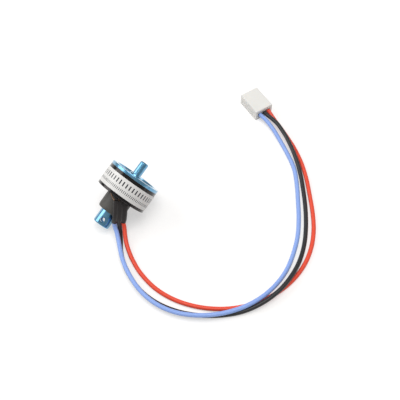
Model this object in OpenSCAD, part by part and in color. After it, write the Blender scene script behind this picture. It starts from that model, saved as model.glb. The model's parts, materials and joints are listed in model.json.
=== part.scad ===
// Small brushless outrunner motor for a model aeroplane, at rest on its side.
// It stands on the rear rim of its bell and on the end of its mounting post, with its leads on the table.
// Distances along the motor run from the free end of the post to the tip of the propeller stub.

/* [Mounting post and hub] */
// Diameter of the mounting post
post_d = 6.4; // [6:0.1:6.8]
// Length of the post, up to the hub's shoulder
post_len = 5.8; // [5:0.2:8]
// Diameter of the bore through the post
post_bore_d = 3.4; // [3:0.1:3.8]
// Diameter of the hole across the post
cross_hole_d = 1.8; // [1.2:0.1:2.2]
// Distance from the post's end to the middle of the cross hole
cross_hole_at = 2.1; // [1.8:0.1:2.2]
// Direction of the cross hole, round from straight down
cross_hole_turn = 17; // [0:1:90]
// Width of the bevel round each mouth of the cross hole
cross_hole_bevel = 0.25; // [0.1:0.05:0.4]
// Diameter of the hub's shoulder
shoulder_d = 9.2; // [8.6:0.2:9.4]
// Length of the hub's shoulder
shoulder_len = 5.7; // [4.5:0.1:7]
// Diameter of the tube that carries the stator
tube_d = 6.4; // [6:0.1:6.8]
// Length of the tube that carries the stator
tube_len = 8.1; // [7.6:0.1:8.3]
// Width of the bevels on the post and hub
hub_bevel = 0.3; // [0.1:0.05:0.5]

/* [Bell] */
// Wall of the flux ring
ring_wall = 0.8; // [0.6:0.1:1]
// Length of the flux ring
ring_len = 8.5; // [8.3:0.1:9.6]
// Gap along the motor between the hub's shoulder and the flux ring
ring_gap = 0.7; // [0.5:0.1:1.5]
// Bevel on the flux ring's rear rim
ring_bevel = 0.12; // [0.05:0.01:0.2]
// Width of the bare rear lip behind the label
rear_lip = 1.1; // [0.6:0.1:1.6]
// Length of the label that is wrapped round the flux ring
label_len = 6.2; // [4:0.2:7]
// Thickness of the label
label_t = 0.15; // [0.1:0.01:0.2]
// How far the front flange's rim stands out past the flux ring
flange_step = 0.05; // [0:0.05:0.3]
// Thickness of the front flange at its rim
flange_t = 1.2; // [1:0.1:2]
// Width of the raised rim round the recess in the flange's front face
rim_w = 1.85; // [1.2:0.05:3]
// Depth of the recess in the flange's front face
recess_depth = 0.5; // [0.3:0.1:0.6]
// Bevel on the flange's rim
rim_bevel = 0.15; // [0.05:0.05:0.3]
// Length of the flange's collar inside the flux ring
collar_len = 0.8; // [0.5:0.1:1.2]
// Wall of the flange's collar
collar_wall = 0.8; // [0.5:0.1:1.2]

/* [Propeller stub and shaft] */
// Diameter of the propeller stub
stub_d = 3.3; // [3:0.1:4]
// Length of the propeller stub in front of the flange's rim
stub_len = 5.5; // [4.5:0.1:9]
// Bevel on the stub's tip
stub_bevel = 0.35; // [0.1:0.05:0.6]
// Diameter of the raised seat round the stub
seat_d = 4.8; // [4.4:0.1:6]
// Height of the raised seat above the recess
seat_h = 0.7; // [0.3:0.1:1]
// Diameter of the steel shaft
shaft_d = 2; // [1.8:0.1:2.1]
// Length of shaft that is held in the stub, in front of the flange's rim
shaft_in_stub = 3.6; // [2:0.1:4]
// Thickness of the retaining ring
retainer_t = 0.4; // [0.3:0.05:0.5]
// Diameter of the retaining ring
retainer_d = 3; // [2.7:0.1:3]
// Depth of the shaft's groove for the retaining ring
groove_depth = 0.2; // [0.1:0.05:0.3]
// Thickness of the washer behind the rear bearing
washer_t = 0.3; // [0.2:0.05:0.4]
// Length of shaft behind the retaining ring
shaft_tail = 0.5; // [0.3:0.1:1]

/* [Bearings] */
// Outer diameter of the bearings
bearing_d = 5; // [4.9:0.1:5.2]
// Width of the bearings
bearing_w = 2; // [1.8:0.1:2.3]
// Diameter of the balls
ball_d = 0.8; // [0.7:0.02:0.84]
// Number of balls in each bearing
ball_count = 7; // [5:1:8]
// Wall of the bearing races beside their grooves
race_wall = 0.45; // [0.4:0.01:0.48]
// Clearance round each ball
ball_clearance = 0.02; // [0.01:0.01:0.03]
// Wall of the ball cage
cage_wall = 0.28; // [0.2:0.02:0.32]
// Length of the ball cage
cage_len = 1.3; // [1.1:0.1:1.6]

/* [Magnets and stator] */
// Number of magnets
magnet_count = 12; // [10:2:14]
// Thickness of the magnets
magnet_t = 1; // [0.8:0.1:1.2]
// Length of the magnets
magnet_len = 5.2; // [4:0.2:6]
// Gap between neighbouring magnets
magnet_gap = 0.6; // [0.3:0.1:1]
// Gap between the magnets and the stator
air_gap = 0.3; // [0.2:0.05:0.4]
// Number of teeth on the stator
tooth_count = 9; // [6:3:9]
// Length of the stack of laminations
stack_len = 5.2; // [4.4:0.2:5.4]
// Distance from the tube's front end to the stack
stack_inset = 0.6; // [0.5:0.1:0.9]
// Wall of the stator's yoke round the tube
yoke_wall = 1.1; // [0.8:0.1:1.2]
// Length of the stator's teeth, between the yoke and the shoes
tooth_len = 2.7; // [2.4:0.1:3.2]
// Width of the stator's teeth
tooth_w = 1.5; // [1.2:0.1:1.6]
// Thickness of the shoe on each tooth
shoe_t = 0.7; // [0.5:0.1:0.9]
// Opening between neighbouring shoes
slot_opening = 0.8; // [0.5:0.1:1.2]
// Thickness of the insulating end caps
end_cap_t = 0.4; // [0.2:0.1:0.5]
// Thickness of the winding round a tooth
coil_t = 0.7; // [0.5:0.05:0.72]
// Gap between a winding and the yoke or the shoe
coil_gap = 0.1; // [0.05:0.05:0.2]

/* [Sleeves and leads] */
// Wall of the shrunk sleeve round the hub's shoulder
sleeve_wall = 0.35; // [0.25:0.05:0.5]
// Length of the sleeve along the hub's shoulder
sleeve_len = 5.4; // [3:0.2:5.4]
// Gap between the sleeve's rear lip and the post
sleeve_lip_gap = 0.6; // [0.6:0.1:1]
// Diameter of each lead
lead_d = 1.6; // [1.4:0.1:1.6]
// Distance between neighbouring leads where they leave their sleeve
lead_pitch = 1.7; // [1.6:0.05:1.8]
// Wall of the flat sleeve round the three leads
lead_sleeve_wall = 0.2; // [0.15:0.05:0.25]
// Diameter of the copper strands between the windings and the leads
strand_d = 0.5; // [0.3:0.05:0.5]
// How far outside the stator's yoke the strands leave the windings
strand_out = 1.5; // [1:0.1:1.8]
// How far the strands bulge towards the post between the windings and the leads' sleeve
strand_bulge = 0.9; // [0:0.1:1]
// Diameter of the solder joints inside the leads' sleeve
joint_d = 1; // [0.8:0.1:1.2]
// Length of the solder joints inside the leads' sleeve
joint_len = 2.4; // [1.5:0.1:3]

/* [Plug] */
// Distance between neighbouring contacts
plug_pitch = 2; // [1.9:0.05:2.2]
// Width of the plug's housing
plug_w = 7.6; // [7:0.1:8]
// Height of the plug's housing
plug_h = 4.8; // [4.2:0.1:5.4]
// Length of the plug's housing
plug_len = 10.6; // [9:0.1:13]
// Side of the square channel for each contact
channel_w = 1.64; // [1.55:0.01:1.7]
// Length of each window under a contact
window_len = 2.4; // [1.5:0.1:3]
// Distance from the plug's mouth to the windows
window_at = 1.8; // [1:0.1:3]
// Side of each square contact
contact_w = 1.5; // [1.4:0.01:1.52]
// Wall of each contact
contact_wall = 0.2; // [0.15:0.01:0.3]
// Length of each contact's crimped end
crimp_len = 3.5; // [2.5:0.1:4]
// Distance of the contacts behind the plug's mouth
contact_inset = 0.8; // [0.3:0.1:1.5]

/* [Hidden] */
$fn = 96;
CUT = 0.5; // overrun of cuts past a face
LEAD_SIDES = 8;
STRAND_SIDES = 8;
STRAND_STEPS = 10;
STRAND_TOOTH = 4; // first of the three teeth whose windings have strands
SLEEVE_END_STEPS = 4;
BALL_FACES = 32;
JOINT_FACES = 24;

post_r = post_d / 2;
shaft_r = shaft_d / 2;
stub_r = stub_d / 2;
shoulder_r = shoulder_d / 2;
tube_r = tube_d / 2;
bearing_r = bearing_d / 2;
ball_r = ball_d / 2;
stator_r = tube_r + yoke_wall + tooth_len + shoe_t;
magnet_r = stator_r + air_gap;
ring_inner_r = magnet_r + magnet_t;
ring_r = ring_inner_r + ring_wall;
flange_r = ring_r + flange_step;

// Stations along the motor, from the free end of the post
shoulder_front = post_len + shoulder_len;
tube_front = shoulder_front + tube_len;
ring_rear = shoulder_front + ring_gap;
ring_front = ring_rear + ring_len;
flange_front = ring_front + flange_t;
recess_floor = flange_front - recess_depth;
stub_tip = flange_front + stub_len;
stack_front = tube_front - stack_inset;
stack_rear = stack_front - stack_len;
magnet_rear = (stack_front + stack_rear - magnet_len) / 2;
rear_seat = shoulder_front - bearing_w - hub_bevel * 2;
front_seat = tube_front - bearing_w;
retainer_rear = rear_seat - washer_t - retainer_t;
shaft_rear = retainer_rear - shaft_tail;

// The motor tips until its bell's rear rim and the end of its post are both on the table
post_bevel = hub_bevel / 2;
rest_tilt = atan((ring_r - post_r) / (ring_rear + ring_bevel - post_bevel));
axis_height = post_r * cos(rest_tilt) - post_bevel * sin(rest_tilt);
reach_rear = (post_r - post_bevel) * sin(rest_tilt);
reach_rim = (flange_front - rim_bevel) * cos(rest_tilt) + flange_r * sin(rest_tilt);
reach_edge = flange_front * cos(rest_tilt) + (flange_r - rim_bevel) * sin(rest_tilt);
reach_tip = stub_tip * cos(rest_tilt) + (stub_r - stub_bevel) * sin(rest_tilt);
reach_neck = (stub_tip - stub_bevel) * cos(rest_tilt) + stub_r * sin(rest_tilt);
motor_shift = (max(reach_rim, reach_edge, reach_tip, reach_neck) - reach_rear) / 2;

ball_path_r = (shaft_r + bearing_r) / 2;
groove_r = ball_r + ball_clearance;

lead_r = lead_d / 2;
sleeve_r = shoulder_r + sleeve_wall;

// Way in which the three leads lie side by side where they leave their sleeve
LEAD_SPREAD = [0.78, -0.516, -0.352];
// Route of the leads' flat sleeve, from inside the bell's rear mouth down past the hub
SLEEVE_ROUTE = [[-4.4, -3.9, 12.2], [-5.6, -4.8, 10.6], [-6.6, -5.5, 9.2], [-7.5, -6, 7.7], [-8, -6, 6.4]];
// Routes of the three leads, from the sleeve's end to the plug
BLUE_ROUTE = [
    [-9.8, -5.7, 5.2], [-10.5, -7.2, 3.8], [-11.9, -9.3, 2.9], [-13.9, -12.1, 2.5], [-16.5, -16, 2.5],
    [-19.1, -21.6, 2.5], [-21.1, -29, 2.4], [-21.2, -36.5, 2.4], [-19.2, -43.5, 2.4], [-15.1, -49.9, 2.4],
    [-9.5, -55.3, 2.4], [-3, -59.4, 2.6], [4.1, -61.8, 2.5], [11.6, -62.4, 1.9], [19.1, -61.4, 1.2],
    [26.3, -58.9, 0.8], [33.1, -55.5, 0.8], [39.2, -51.2, 0.8], [45, -46.3, 0.8], [50.7, -41.2, 0.8],
    [55.9, -35.7, 0.8], [59.8, -29.2, 0.8], [63.1, -22.4, 1], [65, -17.8, 1.4], [66.2, -13.1, 2]
];
BLACK_ROUTE = [
    [-8.4, -6.6, 4.5], [-9.4, -7.8, 2.5], [-11, -9.5, 1.3], [-13.4, -11.9, 0.8], [-16.1, -15.6, 0.8],
    [-18.7, -21.1, 0.8], [-20.5, -28.5, 0.8], [-20.2, -36, 0.8], [-18, -43.1, 0.8], [-14.2, -49.7, 0.8],
    [-9.1, -55.5, 0.8], [-3, -60.3, 1.1], [3.8, -63.5, 2.1], [11.1, -64.8, 2.5], [18.6, -64.3, 2.4],
    [25.8, -62.3, 1.3], [32.7, -59, 0.8], [38.9, -54.8, 0.8], [44.8, -49.9, 0.8], [50.3, -44.6, 0.8],
    [55.5, -39, 1.1], [59.9, -33, 1.9], [63.7, -26.5, 2.5], [65.9, -22, 2.5], [67.6, -17.3, 2.5]
];
RED_ROUTE = [
    [-7.5, -8.1, 4.3], [-8.8, -9.6, 3.1], [-10.3, -11.5, 2], [-12, -14.4, 1.2], [-13.9, -18.5, 0.8],
    [-15.7, -24.2, 0.8], [-16.5, -31.8, 0.8], [-15.4, -39.3, 0.8], [-12.6, -46.3, 0.8], [-8.4, -52.6, 0.8],
    [-3, -57.9, 0.8], [3.5, -61.9, 0.8], [10.7, -64.4, 0.8], [18.2, -65.3, 0.8], [25.7, -64.5, 0.8],
    [32.8, -62, 0.8], [39.2, -58.1, 0.8], [45, -53.1, 0.8], [50.4, -47.5, 0.8], [55.5, -41.9, 0.8],
    [60, -35.9, 0.8], [63.7, -29.4, 0.8], [65.7, -24.8, 0.8], [67.5, -20.1, 0.9], [69, -15.4, 1.3]
];
LEAD_ROUTES = [BLUE_ROUTE, BLACK_ROUTE, RED_ROUTE];
// Middle of the plug's wire end, and the way the plug points
PLUG_PLACE = [68.4, -10.3];
PLUG_TURN = -15;

// Places its children on the motor's tilted axis, with Z along the motor and X downwards
module on_motor() {
    translate([-motor_shift, 0, axis_height]) rotate([0, 90 - rest_tilt, 0]) children();
}

// A round bar between two stations
module bar(r, from, to) {
    translate([0, 0, from]) cylinder(r = r, h = to - from);
}

// A round bar with a bevel at its rear end, its front end or both
module bevelled_bar(r, from, to, rear_bevel = 0, front_bevel = 0) {
    rotate_extrude() polygon([
        [0, from], [r - rear_bevel, from], [r, from + rear_bevel],
        [r, to - front_bevel], [r - front_bevel, to], [0, to]
    ]);
}

// A tube between two stations
module tube(r_out, r_in, from, to) {
    difference() {
        bar(r_out, from, to);
        bar(r_in, from - CUT, to + CUT);
    }
}

// Direction of a route at one of its points
function heading(route, i) =
    let (ahead = route[min(i + 1, len(route) - 1)], behind = route[max(i - 1, 0)])
    (ahead - behind) / norm(ahead - behind);

function unit(v) = v / norm(v);

// The points of a ring, with its width along the given way as nearly as the route's heading allows
function ring_points(section, place, along, way) =
    let (width = unit(way - along * (way * along)), height = cross(width, along))
    [for (q = section) place + width * q[0] + height * q[1]];

// One closed solid with the same section all along a route
module swept(route, section, ways) {
    n = len(section);
    last = (len(route) - 1) * n;
    points = [for (i = [0:len(route) - 1]) each ring_points(section, route[i], heading(route, i), ways[i])];
    sides = [
        for (i = [0:len(route) - 2]) for (k = [0:n - 1])
            let (a = i * n + k, b = i * n + (k + 1) % n)
            each [[a, a + n, b], [b, a + n, b + n]]
    ];
    polyhedron(
        points = points,
        faces = concat([[for (k = [0:n - 1]) k]], sides, [[for (k = [n - 1:-1:0]) last + k]]),
        convexity = 6
    );
}

function round_section(r, sides) = [for (k = [0:sides - 1]) [r * cos(360 * k / sides), r * sin(360 * k / sides)]];

// Blue aluminium hub: the post, the shoulder and the tube for the stator and the bearings
module hub() {
    color("#3f86c4") on_motor() difference() {
        union() {
            bevelled_bar(post_r, 0, post_len + hub_bevel, rear_bevel = post_bevel);
            bevelled_bar(shoulder_r, post_len, shoulder_front, front_bevel = hub_bevel);
            bar(tube_r, shoulder_front - hub_bevel, tube_front);
        }
        bar(post_bore_d / 2, -CUT, rear_seat + CUT);
        bar(bearing_r, rear_seat, tube_front + CUT);
        cross_hole();
    }
}

module cross_hole() {
    mouth_r = cross_hole_d / 2;
    translate([0, 0, cross_hole_at]) rotate([0, 0, cross_hole_turn]) {
        rotate([0, 90, 0]) cylinder(r = mouth_r, h = post_d + CUT * 2, center = true);
        for (end = [0, 180])
            rotate([0, 0, end]) translate([post_r - cross_hole_bevel, 0, 0]) rotate([0, 90, 0])
                cylinder(r1 = mouth_r, r2 = mouth_r + cross_hole_bevel * 2, h = cross_hole_bevel * 2);
    }
}

// Blue aluminium front bell: flange, collar, inner boss and propeller stub in one piece
module front_bell() {
    color("#4a90cf") on_motor() difference() {
        union() {
            difference() {
                bevelled_bar(flange_r, ring_front, flange_front, front_bevel = rim_bevel);
                bar(flange_r - rim_w, recess_floor, flange_front + CUT);
            }
            tube(ring_inner_r, ring_inner_r - collar_wall, ring_front - collar_len, ring_front);
            bar(shaft_r + race_wall, tube_front, ring_front);
            bar(seat_d / 2, ring_front, recess_floor + seat_h);
            bevelled_bar(stub_r, ring_front, stub_tip, front_bevel = stub_bevel);
        }
        bar(shaft_r, tube_front - CUT, flange_front + shaft_in_stub);
    }
}

// Black steel flux ring
module flux_ring() {
    color("#1d1d1f") on_motor() difference() {
        bevelled_bar(ring_r, ring_rear, ring_front, rear_bevel = ring_bevel);
        bar(ring_inner_r, ring_rear - CUT, ring_front + CUT);
    }
}

// White label wrapped round the flux ring
module label_wrap() {
    from = ring_rear + rear_lip;
    color("#e9e9ec") on_motor() tube(ring_r + label_t, ring_r, from, from + label_len);
}

// Steel shaft with its groove for the retaining ring
module shaft() {
    front = flange_front + shaft_in_stub;
    color("#c9ccd0") on_motor() difference() {
        bevelled_bar(shaft_r, shaft_rear, front, rear_bevel = groove_depth);
        tube(shaft_r + CUT, shaft_r - groove_depth, retainer_rear, retainer_rear + retainer_t);
    }
}

// Spring-steel retaining ring, open on one side
module retaining_ring() {
    inner_r = shaft_r - groove_depth;
    color("#8f9296") on_motor() difference() {
        tube(retainer_d / 2, inner_r, retainer_rear, retainer_rear + retainer_t);
        translate([0, -inner_r, retainer_rear - CUT]) cube([retainer_d, inner_r * 2, retainer_t + CUT * 2]);
    }
}

module thrust_washer() {
    color("#b8a46a") on_motor() tube(shaft_r + race_wall, shaft_r, rear_seat - washer_t, rear_seat);
}

// The torus that the balls run in
module ball_groove(station) {
    translate([0, 0, station + bearing_w / 2]) rotate_extrude() translate([ball_path_r, 0]) circle(r = groove_r);
}

module outer_race(station) {
    color("#c4c7cb") on_motor() difference() {
        tube(bearing_r, bearing_r - race_wall, station, station + bearing_w);
        ball_groove(station);
    }
}

module inner_race(station) {
    color("#c4c7cb") on_motor() difference() {
        tube(shaft_r + race_wall, shaft_r, station, station + bearing_w);
        ball_groove(station);
    }
}

module around_bearing(station) {
    for (i = [0:ball_count - 1])
        rotate([0, 0, 360 * i / ball_count]) translate([ball_path_r, 0, station + bearing_w / 2]) children();
}

module balls(station) {
    color("#dfe2e6") on_motor() around_bearing(station) sphere(r = ball_r, $fn = BALL_FACES);
}

module cage(station) {
    middle = station + bearing_w / 2;
    color("#b9903c") on_motor() difference() {
        tube(ball_path_r + cage_wall / 2, ball_path_r - cage_wall / 2, middle - cage_len / 2, middle + cage_len / 2);
        around_bearing(station) rotate([0, 90, 0]) cylinder(r = groove_r, h = ball_d * 2, center = true);
    }
}

// Outline of the stator's yoke and teeth, without their shoes
module spider() {
    circle(r = tube_r + yoke_wall);
    for (i = [0:tooth_count - 1])
        rotate(360 * i / tooth_count) translate([tube_r, -tooth_w / 2]) square([stator_r - shoe_t - tube_r, tooth_w]);
}

// Outline of the shoes at the ends of the teeth
module shoes() {
    half_turn = 180 / tooth_count - asin(slot_opening / 2 / stator_r);
    far = stator_r * 2;
    difference() {
        circle(r = stator_r);
        circle(r = stator_r - shoe_t);
        for (i = [0:tooth_count - 1])
            rotate(360 * (i + 1 / 2) / tooth_count)
                translate([0, -slot_opening / 2]) square([far, slot_opening]);
    }
}

// Stack of silicon-steel laminations
module stator_core() {
    color("#6e7378") on_motor() translate([0, 0, stack_rear]) linear_extrude(stack_len) difference() {
        union() {
            spider();
            shoes();
            shoe_necks();
        }
        circle(r = tube_r);
    }
}

// Joins each tooth to the inner side of its shoe, which is round
module shoe_necks() {
    neck = shoe_t / 2;
    for (i = [0:tooth_count - 1])
        rotate(360 * i / tooth_count)
            translate([stator_r - shoe_t - neck, -tooth_w / 2]) square([neck * 2, tooth_w]);
}

module end_cap(from) {
    color("#2e7d4f") on_motor() translate([0, 0, from]) linear_extrude(end_cap_t) difference() {
        spider();
        circle(r = tube_r);
    }
}

// Copper winding round one tooth and the two end caps
module winding(i) {
    inner = tube_r + yoke_wall + coil_gap;
    outer = sqrt(pow(stator_r - shoe_t, 2) - pow(tooth_w / 2 + coil_t, 2)) - coil_gap;
    height = stack_len + end_cap_t * 2;
    color("#b8692f") on_motor() rotate([0, 0, 360 * (i - 1) / tooth_count])
        translate([inner, 0, stack_rear - end_cap_t]) difference() {
            translate([0, -tooth_w / 2 - coil_t, -coil_t]) cube([outer - inner, tooth_w + coil_t * 2, height + coil_t * 2]);
            translate([-CUT, -tooth_w / 2, 0]) cube([outer - inner + CUT * 2, tooth_w, height]);
        }
}

// Magnet glued inside the flux ring
module magnet(i) {
    turn = 360 / magnet_count - magnet_gap / ring_inner_r * 180 / PI;
    color("#9aa0a6") on_motor() rotate([0, 0, 360 * i / magnet_count - turn / 2])
        translate([0, 0, magnet_rear]) rotate_extrude(angle = turn)
            translate([magnet_r, 0]) square([magnet_t, magnet_len]);
}

// A point on the table's frame, from a radius, a turn and a station on the motor
function on_table(r, turn, station) =
    let (up = -r * cos(turn))
    [
        station * cos(rest_tilt) - up * sin(rest_tilt) - motor_shift,
        r * sin(turn),
        axis_height + station * sin(rest_tilt) + up * cos(rest_tilt)
    ];

// Radius, turn and station on the motor of a point in the table's frame
function on_axis(p) =
    let (
        x = p[0] + motor_shift,
        z = p[2] - axis_height,
        up = z * cos(rest_tilt) - x * sin(rest_tilt),
        turn = atan2(p[1], -up)
    )
    [norm([up, p[1]]), turn < 0 ? turn + 360 : turn, x * cos(rest_tilt) + z * sin(rest_tilt)];

// Enamelled strands that come round the hub from three windings into the leads' sleeve
module winding_strands() {
    from_r = tube_r + yoke_wall + strand_out;
    coil_rear = stack_rear - end_cap_t - coil_t;
    color("#b8692f") for (i = [0:2]) {
        leaves = [from_r, 360 * (STRAND_TOOTH + i) / tooth_count, coil_rear];
        arrives = on_axis(SLEEVE_ROUTE[0] + LEAD_SPREAD * lead_pitch * (i - 1));
        route = [
            for (k = [0:STRAND_STEPS])
                let (t = k / STRAND_STEPS, way = leaves + (arrives - leaves) * t, bulge = sin(180 * t) * (1 - t))
                on_table(way[0], way[1], way[2] - strand_bulge * bulge)
        ];
        swept(route, round_section(strand_d / 2, STRAND_SIDES), [for (p = route) [0, 0, 1]]);
    }
}

// Black shrunk sleeve round the hub's shoulder, drawn in over its rear face
module hub_sleeve() {
    lip_r = post_r + sleeve_lip_gap;
    color("#3a3a3c") on_motor() difference() {
        bevelled_bar(sleeve_r, post_len - sleeve_wall, post_len + sleeve_len, rear_bevel = sleeve_wall);
        bar(shoulder_r, post_len, post_len + sleeve_len + CUT);
        bar(lip_r, post_len - sleeve_wall - CUT, post_len + CUT);
    }
}

// Rounded flat outline of the sleeve round the three leads
function sleeve_section() =
    let (half = lead_pitch, r = lead_r + lead_sleeve_wall)
    [
        for (side = [0, 1]) for (k = [0:SLEEVE_END_STEPS])
            let (turn = side * 180 - 90 + 180 * k / SLEEVE_END_STEPS)
            [(side == 0 ? half : -half) + r * cos(turn), r * sin(turn)]
    ];

// Black shrunk sleeve that holds the three leads flat side by side
module lead_sleeve() {
    color("#2a2a2c") difference() {
        swept(SLEEVE_ROUTE, sleeve_section(), [for (p = SLEEVE_ROUTE) LEAD_SPREAD]);
        joints();
    }
}

module joints() {
    along = unit(SLEEVE_ROUTE[2] - SLEEVE_ROUTE[1]);
    middle = (SLEEVE_ROUTE[2] + SLEEVE_ROUTE[1]) / 2;
    for (i = [-1:1])
        translate(middle + LEAD_SPREAD * lead_pitch * i)
            rotate([0, acos(along[2]), atan2(along[1], along[0])])
                cylinder(r = joint_d / 2, h = joint_len, center = true, $fn = JOINT_FACES);
}

// Solder joints between the copper strands and the leads, inside the sleeve
module solder_joints() {
    color("#c9ccd0") joints();
}

function plug_way() = [-sin(PLUG_TURN), cos(PLUG_TURN), 0];
function plug_side() = [cos(PLUG_TURN), sin(PLUG_TURN), 0];
function plug_entry(i) =
    [PLUG_PLACE[0], PLUG_PLACE[1], plug_h / 2] + plug_side() * plug_pitch * (i - 1);
function sleeve_exit(i) = SLEEVE_ROUTE[len(SLEEVE_ROUTE) - 1] + LEAD_SPREAD * lead_pitch * (i - 1);

// One silicone-covered lead from the sleeve's end to the plug
module lead(i) {
    route = concat([sleeve_exit(i)], LEAD_ROUTES[i], [plug_entry(i)]);
    swept(route, round_section(lead_r, LEAD_SIDES), [for (p = route) [0, 0, 1]]);
}

module blue_lead() {
    color("#6f92f0") lead(0);
}

module black_lead() {
    color("#2b2b2e") lead(1);
}

module red_lead() {
    color("#ee4a33") lead(2);
}

// Places its children at the plug's wire end, with Y towards its mouth
module on_plug() {
    translate([PLUG_PLACE[0], PLUG_PLACE[1], 0]) rotate([0, 0, PLUG_TURN]) children();
}

// Nylon housing with a channel for each contact and a window in its underside
module plug_housing() {
    color("#ececec") on_plug() difference() {
        translate([-plug_w / 2, 0, 0]) cube([plug_w, plug_len, plug_h]);
        for (i = [-1:1]) translate([i * plug_pitch, 0, plug_h / 2]) {
            translate([-channel_w / 2, -CUT, -channel_w / 2]) cube([channel_w, plug_len + CUT * 2, channel_w]);
            translate([-contact_w / 2, plug_len - window_at - window_len, -plug_h])
                cube([contact_w, window_len, plug_h]);
        }
    }
}

// Tin-plated contact: a square socket at the mouth and a crimped barrel round the lead's end
module contact(i) {
    socket_from = crimp_len;
    socket_len = plug_len - contact_inset - crimp_len;
    color("#c8cacc") on_plug() translate([(i - 1) * plug_pitch, 0, plug_h / 2]) {
        rotate([-90, 0, 0]) cylinder(r = contact_w / 2, h = crimp_len);
        difference() {
            translate([-contact_w / 2, socket_from, -contact_w / 2]) cube([contact_w, socket_len, contact_w]);
            translate([-contact_w / 2 + contact_wall, socket_from + contact_wall, -contact_w / 2 + contact_wall])
                cube([contact_w - contact_wall * 2, socket_len, contact_w - contact_wall * 2]);
        }
    }
}

module blue_contact() {
    contact(0);
}

module black_contact() {
    contact(1);
}

module red_contact() {
    contact(2);
}

hub();
front_bell();
flux_ring();
label_wrap();
shaft();
retaining_ring();
thrust_washer();
outer_race(rear_seat);  // rear_outer_race
inner_race(rear_seat);  // rear_inner_race
cage(rear_seat);  // rear_cage
balls(rear_seat);  // rear_balls
outer_race(front_seat);  // front_outer_race
inner_race(front_seat);  // front_inner_race
cage(front_seat);  // front_cage
balls(front_seat);  // front_balls
stator_core();
end_cap(stack_rear - end_cap_t);  // rear_end_cap
end_cap(stack_front);  // front_end_cap
for (i = [1:tooth_count]) winding(i);
for (i = [1:magnet_count]) magnet(i);
winding_strands();
hub_sleeve();
lead_sleeve();
solder_joints();
blue_lead();
black_lead();
red_lead();
plug_housing();
blue_contact();
black_contact();
red_contact();
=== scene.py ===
import json
from math import cos, hypot, pi, radians, sin

import bmesh
import bpy
from mathutils import Matrix, Vector, noise


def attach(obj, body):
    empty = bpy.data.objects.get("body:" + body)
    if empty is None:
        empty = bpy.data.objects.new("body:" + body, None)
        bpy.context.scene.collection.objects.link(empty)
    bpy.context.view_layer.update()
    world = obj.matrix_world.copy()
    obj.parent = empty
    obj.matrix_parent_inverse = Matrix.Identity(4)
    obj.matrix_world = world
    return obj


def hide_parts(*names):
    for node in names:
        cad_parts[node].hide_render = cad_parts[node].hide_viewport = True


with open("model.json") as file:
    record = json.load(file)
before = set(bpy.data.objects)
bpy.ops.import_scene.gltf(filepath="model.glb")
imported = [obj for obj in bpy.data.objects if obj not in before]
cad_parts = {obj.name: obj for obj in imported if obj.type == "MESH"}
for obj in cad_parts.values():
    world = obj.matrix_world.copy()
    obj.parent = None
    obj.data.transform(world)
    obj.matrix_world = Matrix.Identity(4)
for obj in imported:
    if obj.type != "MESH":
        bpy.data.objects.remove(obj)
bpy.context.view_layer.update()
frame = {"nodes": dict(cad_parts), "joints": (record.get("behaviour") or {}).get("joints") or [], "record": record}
nodes = frame["nodes"]

MM = 0.001

# The motor's own axes: Z along it from the free end of its post, Y to its side and X downwards
spin_joint = next(joint for joint in frame["joints"] if joint["name"] == "bell_spin")
ALONG = Vector(spin_joint["axis"]).normalized()
ACROSS = Vector((0, 1, 0))
MOTOR = Matrix((ACROSS.cross(ALONG), ACROSS, ALONG)).transposed().to_4x4()
MOTOR.translation = Vector(spin_joint["pos_m"])


def span(node):
    """A node's rear and front station along the motor, and its least and greatest radius."""
    points = [MOTOR.inverted() @ v.co for v in nodes[node].data.vertices]
    stations = [p.z for p in points]
    radii = [hypot(p.x, p.y) for p in points]
    return min(stations), max(stations), min(radii), max(radii)


def extent(node, place):
    """A node's lowest and highest corner in the axes of a place."""
    points = [place.inverted() @ v.co for v in nodes[node].data.vertices]
    return [Vector([pick(p[axis] for p in points) for axis in range(3)]) for pick in (min, max)]


# Camera, at the photograph's viewing angle
CAMERA_FOV = 27
CAMERA_ELEVATION = 56.5
CAMERA_AZIMUTH = -137.9
CAMERA_DISTANCE = 310.5 * MM
CAMERA_TARGET = Vector((21.6, -18.4, 0)) * MM


def make_camera():
    elevation = radians(CAMERA_ELEVATION)
    azimuth = radians(CAMERA_AZIMUTH)
    away = Vector((cos(elevation) * cos(azimuth), cos(elevation) * sin(azimuth), sin(elevation)))
    data = bpy.data.cameras.new("camera")
    data.sensor_fit = "HORIZONTAL"
    data.angle = radians(CAMERA_FOV)
    data.clip_start = 10 * MM
    camera = bpy.data.objects.new("camera", data)
    camera.location = CAMERA_TARGET + away * CAMERA_DISTANCE
    camera.rotation_euler = (-away).to_track_quat("-Z", "Y").to_euler()
    bpy.context.scene.collection.objects.link(camera)
    bpy.context.scene.camera = camera


# Materials
def linear(colour):
    """An sRGB hex colour as the linear colour that a socket takes."""
    parts = [int(colour[i:i + 2], 16) / 255 for i in (1, 3, 5)]
    return [c / 12.92 if c <= 0.04045 else ((c + 0.055) / 1.055) ** 2.4 for c in parts] + [1]


def add(material, kind, inputs, **settings):
    """Adds a node with its settings, and gives each named input a value or a link."""
    made = material.node_tree.nodes.new("ShaderNode" + kind)
    for name, value in settings.items():
        setattr(made, name, value)
    for name, value in inputs.items():
        if isinstance(value, bpy.types.NodeSocket):
            material.node_tree.links.new(value, made.inputs[name])
        else:
            made.inputs[name].default_value = value
    return made.outputs


def start_material(name):
    material = bpy.data.materials.new(name)
    material.use_nodes = True
    shader = material.node_tree.nodes["Principled BSDF"]
    return material, shader


def join(material, value, socket):
    material.node_tree.links.new(value, socket)


def motor_coordinates(material):
    """Object coordinates turned so that Z runs along the motor."""
    place = add(material, "TexCoord", {})
    return add(material, "Mapping", {
        "Vector": place["Object"],
        "Location": MOTOR.translation,
        "Rotation": MOTOR.to_euler(),
    }, vector_type="TEXTURE")["Vector"]


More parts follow.
